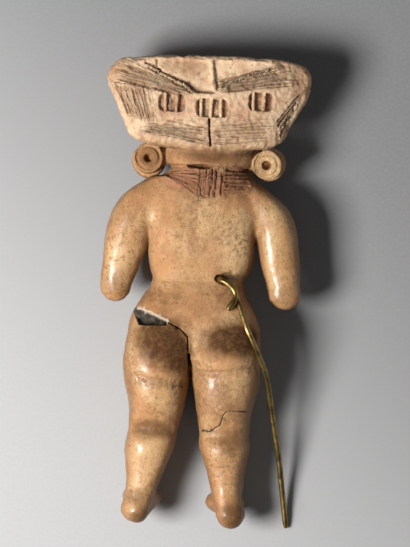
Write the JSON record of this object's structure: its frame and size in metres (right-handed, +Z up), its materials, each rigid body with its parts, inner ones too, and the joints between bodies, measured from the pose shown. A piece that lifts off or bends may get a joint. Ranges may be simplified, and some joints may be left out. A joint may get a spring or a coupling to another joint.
{
  "type": "terracotta statuette",
  "caption": "Fired-clay standing woman with a wide carved headdress, ear spools and stump arms, lying face down, with a bent brass wire hooked through the back of its waist.",
  "frame": {"origin": "middle of the footprint, on the surface that the figure lies on", "axes": "+Y from the feet to the headdress, +Z up out of the figure's back, +X to the right as its back is seen"},
  "size_m": [0.0714, 0.165, 0.031],
  "materials": {
    "fired_clay": "satin",
    "brass": "satin"
  },
  "bodies": {
    "root": {"statuette": "fired_clay", "brass_wire": "brass"}
  },
  "joints": []
}
